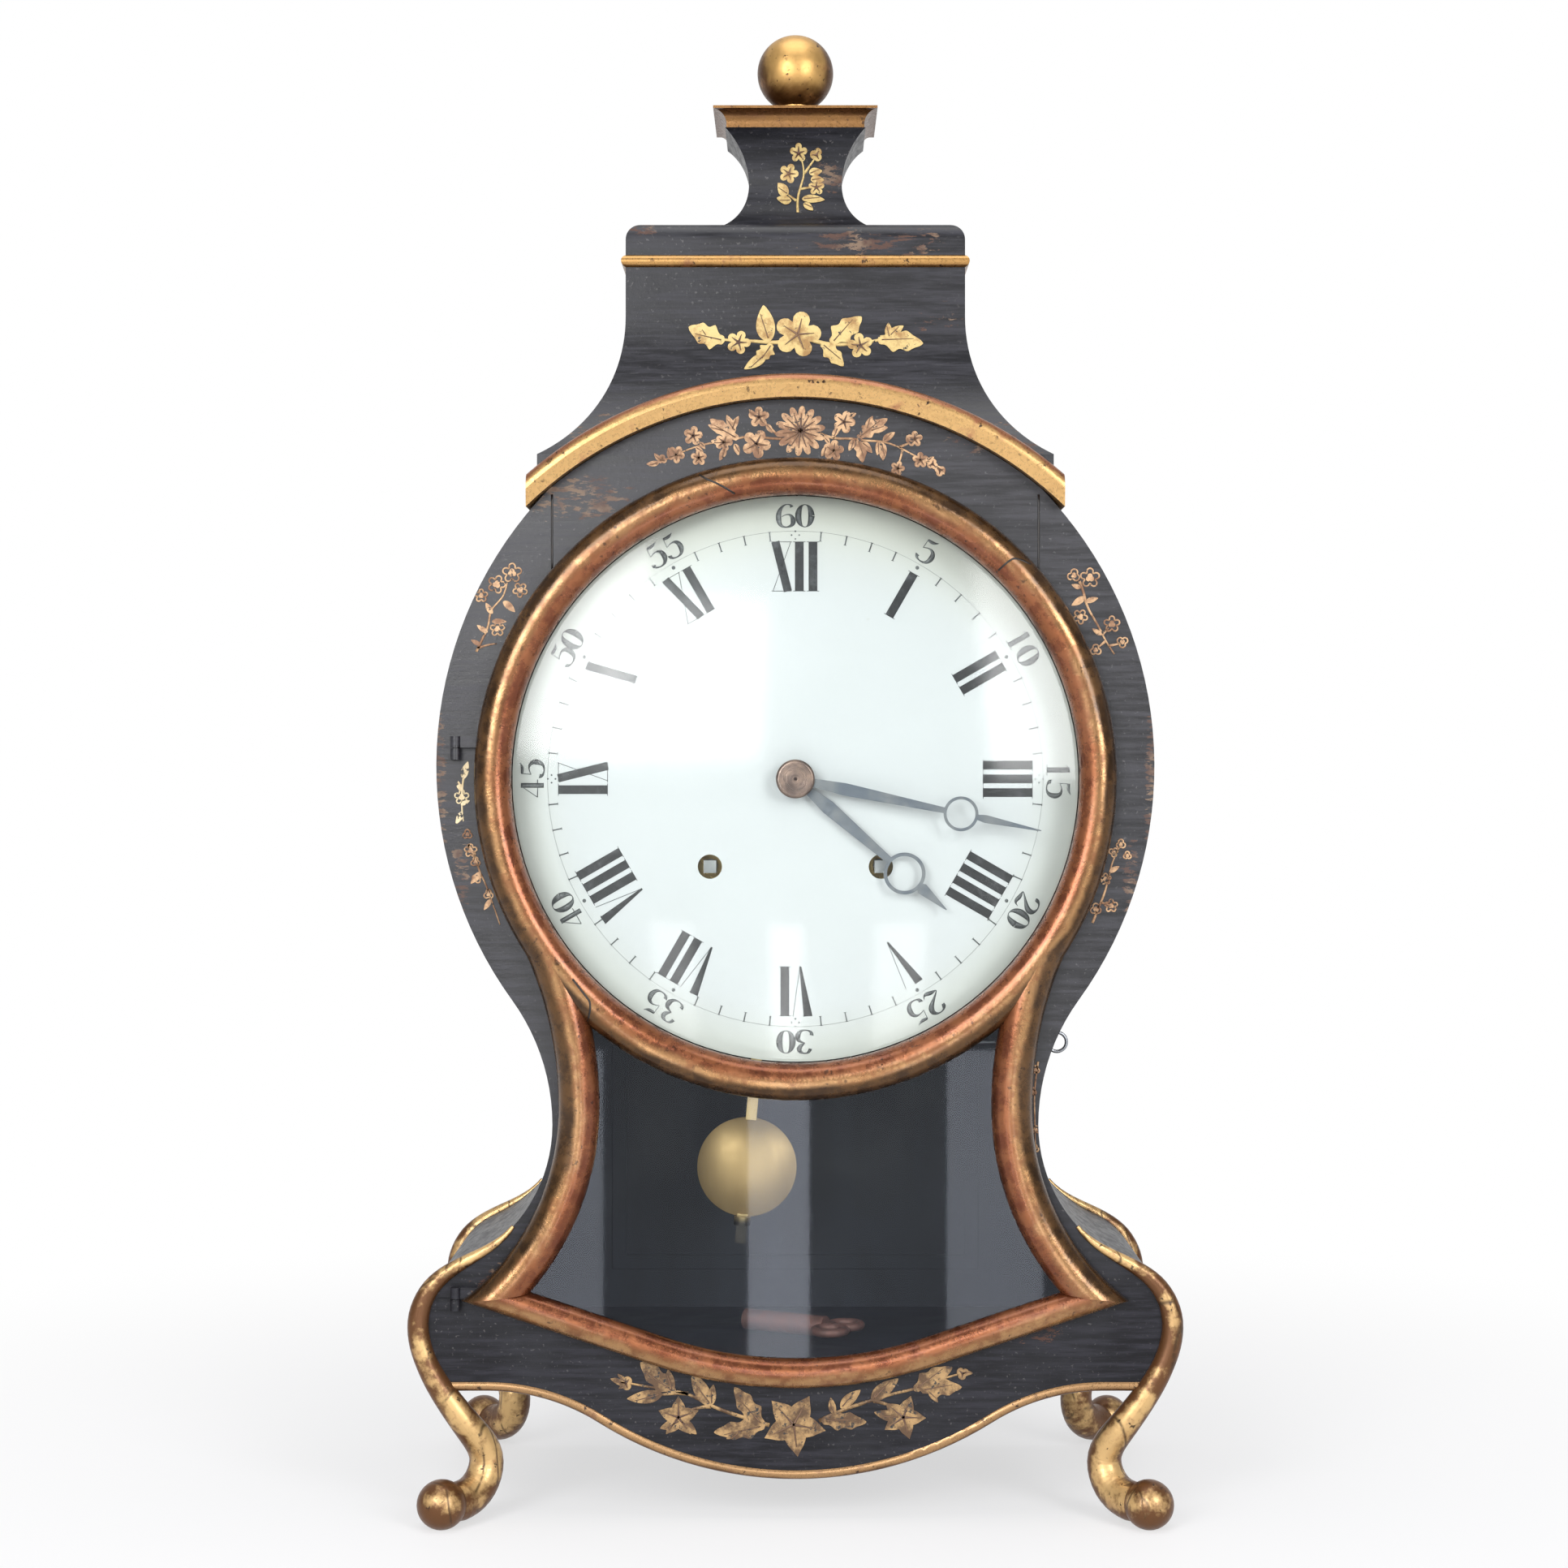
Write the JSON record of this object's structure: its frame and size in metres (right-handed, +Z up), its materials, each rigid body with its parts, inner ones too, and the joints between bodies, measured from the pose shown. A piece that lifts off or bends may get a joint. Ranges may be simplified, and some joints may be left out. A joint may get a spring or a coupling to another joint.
{
  "type": "bracket clock",
  "caption": "Waisted bracket clock in black lacquered wood with gilt mouldings, scrolled feet, glazed door, enamel dial, lift-off crown, striking movement and swinging pendulum.",
  "frame": {"origin": "on the resting plane, midway between the four feet", "axes": "+X to the right seen from the front, the dial looks along -Y, +Z up"},
  "size_m": [0.3422, 0.1958, 0.6784],
  "materials": {
    "black_lacquer": "black lacquer, satin, worn",
    "dark_board": "dark stained board",
    "gilt_wood": "worn gilding over gesso",
    "red_gilt": "gilding rubbed to red bole",
    "glass": "clear",
    "brass": "aged brass",
    "steel": "dull steel",
    "enamel": "white vitreous enamel"
  },
  "bodies": {
    "case": {"front_arch_board": "black_lacquer", "front_apron": "black_lacquer", "front_stile_left": "black_lacquer", "front_stile_right": "black_lacquer", "side_wall_left": "black_lacquer", "side_wall_right": "black_lacquer", "roof_board": "dark_board", "back_board": "dark_board", "floor_board": "dark_board", "seat_board": "dark_board", "front_legs": "gilt_wood", "rear_legs": "gilt_wood", "base_beads": "gilt_wood", "case_hinges": "brass", "dial": "enamel", "front_plate": "brass", "back_plate": "brass", "bell": "brass", "bell_stand": "steel", "back_cock": "brass"},
    "front_door": {"door_ring": "red_gilt", "door_stile_left": "red_gilt", "door_stile_right": "red_gilt", "door_bottom_rail": "red_gilt", "window_glass": "glass", "dial_glass": "glass", "door_hinge_leaves": "brass"},
    "rear_door": {"rear_door": "dark_board", "rear_hinge_leaves": "brass"},
    "crown": {"crown_hood": "black_lacquer", "arch_moulding": "gilt_wood", "crown_bead": "gilt_wood", "crown_tier": "black_lacquer", "crown_neck": "black_lacquer", "crown_cap": "gilt_wood", "ball_finial": "gilt_wood"},
    "minute_hand": {"minute_hand": "steel", "cannon_pinion": "brass", "hand_collet": "brass"},
    "hour_hand": {"hour_hand": "steel", "hour_wheel": "brass"},
    "motion_wheel": {"motion_wheel": "brass"},
    "going_barrel": {"going_barrel": "brass"},
    "going_winding_arbor": {"going_winding_arbor": "steel"},
    "going_second_wheel": {"going_second_wheel": "brass"},
    "centre_wheel": {"centre_wheel": "brass"},
    "third_wheel": {"third_wheel": "brass"},
    "escape_wheel": {"escape_wheel": "brass"},
    "pallets": {"pallets": "steel"},
    "pendulum": {"pendulum_rod": "brass", "pendulum_bob": "brass"},
    "strike_barrel": {"strike_barrel": "brass"},
    "strike_winding_arbor": {"strike_winding_arbor": "steel"},
    "strike_second_wheel": {"strike_second_wheel": "brass"},
    "pin_wheel": {"pin_wheel": "brass"},
    "warning_wheel": {"warning_wheel": "brass"},
    "fly": {"fly": "brass"},
    "hammer": {"hammer": "steel"},
    "strike_pull": {"strike_pull": "steel"},
    "winding_key": {"winding_key": "steel"}
  },
  "joints": [
    {"name": "front_door_hinge", "type": "hinge", "parent": "case", "child": "front_door", "pos_m": [-0.1496, -0.07797, 0.22], "axis": [0, 0, -1], "range_deg": [0, 110]},
    {"name": "rear_door_hinge", "type": "hinge", "parent": "case", "child": "rear_door", "pos_m": [-0.086, 0.07797, 0.258], "axis": [0, 0, 1], "range_deg": [0, 100]},
    {"name": "crown_lift", "type": "slide", "parent": "case", "child": "crown", "axis": [0, 0, 1], "range_m": [0, 0.07]},
    {"name": "minute_hand_turn", "type": "hinge", "parent": "case", "child": "minute_hand", "pos_m": [0, -0.023, 0.3275], "axis": [0, 1, 0], "continuous": true},
    {"name": "motion_wheel_turn", "type": "hinge", "parent": "case", "child": "motion_wheel", "pos_m": [0, -0.023, 0.3107], "axis": [0, 1, 0], "continuous": true},
    {"name": "hour_hand_turn", "type": "hinge", "parent": "case", "child": "hour_hand", "pos_m": [0, -0.023, 0.3275], "axis": [0, 1, 0], "continuous": true},
    {"name": "third_wheel_turn", "type": "hinge", "parent": "case", "child": "third_wheel", "pos_m": [0.00714, -0.023, 0.35385], "axis": [0, 1, 0], "continuous": true},
    {"name": "centre_wheel_turn", "type": "hinge", "parent": "case", "child": "centre_wheel", "pos_m": [0, -0.023, 0.3275], "axis": [0, 1, 0], "continuous": true},
    {"name": "going_second_wheel_turn", "type": "hinge", "parent": "case", "child": "going_second_wheel", "pos_m": [0.02799, -0.023, 0.32805], "axis": [0, 1, 0], "continuous": true},
    {"name": "going_barrel_turn", "type": "hinge", "parent": "case", "child": "going_barrel", "pos_m": [0.038, -0.023, 0.2885], "axis": [0, 1, 0], "continuous": true},
    {"name": "escape_wheel_turn", "type": "hinge", "parent": "case", "child": "escape_wheel", "pos_m": [0, -0.023, 0.3755], "axis": [0, 1, 0], "continuous": true},
    {"name": "pendulum_swing", "type": "hinge", "parent": "case", "child": "pendulum", "pos_m": [0, 0.014, 0.4005], "axis": [0, 1, 0], "range_deg": [-11.2, 1]},
    {"name": "pallets_rock", "type": "hinge", "parent": "case", "child": "pallets", "pos_m": [0, -0.009, 0.4005], "axis": [0, 1, 0], "range_deg": [-11.2, 1]},
    {"name": "warning_wheel_turn", "type": "hinge", "parent": "case", "child": "warning_wheel", "pos_m": [-0.038, -0.023, 0.37907], "axis": [0, 1, 0], "continuous": true},
    {"name": "pin_wheel_turn", "type": "hinge", "parent": "case", "child": "pin_wheel", "pos_m": [-0.038, -0.023, 0.3573], "axis": [0, 1, 0], "continuous": true},
    {"name": "strike_second_wheel_turn", "type": "hinge", "parent": "case", "child": "strike_second_wheel", "pos_m": [-0.038, -0.023, 0.3293], "axis": [0, 1, 0], "continuous": true},
    {"name": "strike_barrel_turn", "type": "hinge", "parent": "case", "child": "strike_barrel", "pos_m": [-0.038, -0.023, 0.2885], "axis": [0, 1, 0], "continuous": true},
    {"name": "fly_turn", "type": "hinge", "parent": "case", "child": "fly", "pos_m": [-0.038, -0.023, 0.39558], "axis": [0, 1, 0], "continuous": true},
    {"name": "hammer_swing", "type": "hinge", "parent": "case", "child": "hammer", "pos_m": [-0.064, -0.0225, 0.3673], "axis": [0, 1, 0], "range_deg": [-12, 2], "stiffness_Nm_per_rad": 0.05},
    {"name": "going_winding", "type": "hinge", "parent": "case", "child": "going_winding_arbor", "pos_m": [0.038, -0.023, 0.2885], "axis": [0, 1, 0], "continuous": true},
    {"name": "strike_winding", "type": "hinge", "parent": "case", "child": "strike_winding_arbor", "pos_m": [-0.038, -0.023, 0.2885], "axis": [0, 1, 0], "continuous": true},
    {"name": "strike_pull_slide", "type": "slide", "parent": "case", "child": "strike_pull", "axis": [1, 0, 0], "range_m": [0, 0.02], "stiffness_N_per_m": 20},
    {"name": "winding_key_lift", "type": "slide", "parent": "case", "child": "winding_key", "axis": [0, 0, 1], "range_m": [0, 0.025]}
  ],
  "couplings": [
    {"joint": "motion_wheel_turn", "follows": "minute_hand_turn", "ratio": -0.33333},
    {"joint": "hour_hand_turn", "follows": "minute_hand_turn", "ratio": 0.083333},
    {"joint": "centre_wheel_turn", "follows": "third_wheel_turn", "ratio": -0.083333},
    {"joint": "going_second_wheel_turn", "follows": "third_wheel_turn", "ratio": 0.0092593},
    {"joint": "going_barrel_turn", "follows": "third_wheel_turn", "ratio": -0.0013228},
    {"joint": "escape_wheel_turn", "follows": "third_wheel_turn", "ratio": -9.8571},
    {"joint": "pallets_rock", "follows": "pendulum_swing", "ratio": 1},
    {"joint": "pin_wheel_turn", "follows": "warning_wheel_turn", "ratio": -0.11667},
    {"joint": "strike_second_wheel_turn", "follows": "warning_wheel_turn", "ratio": 0.012963},
    {"joint": "strike_barrel_turn", "follows": "warning_wheel_turn", "ratio": -0.0018519},
    {"joint": "fly_turn", "follows": "warning_wheel_turn", "ratio": -6.8571}
  ]
}
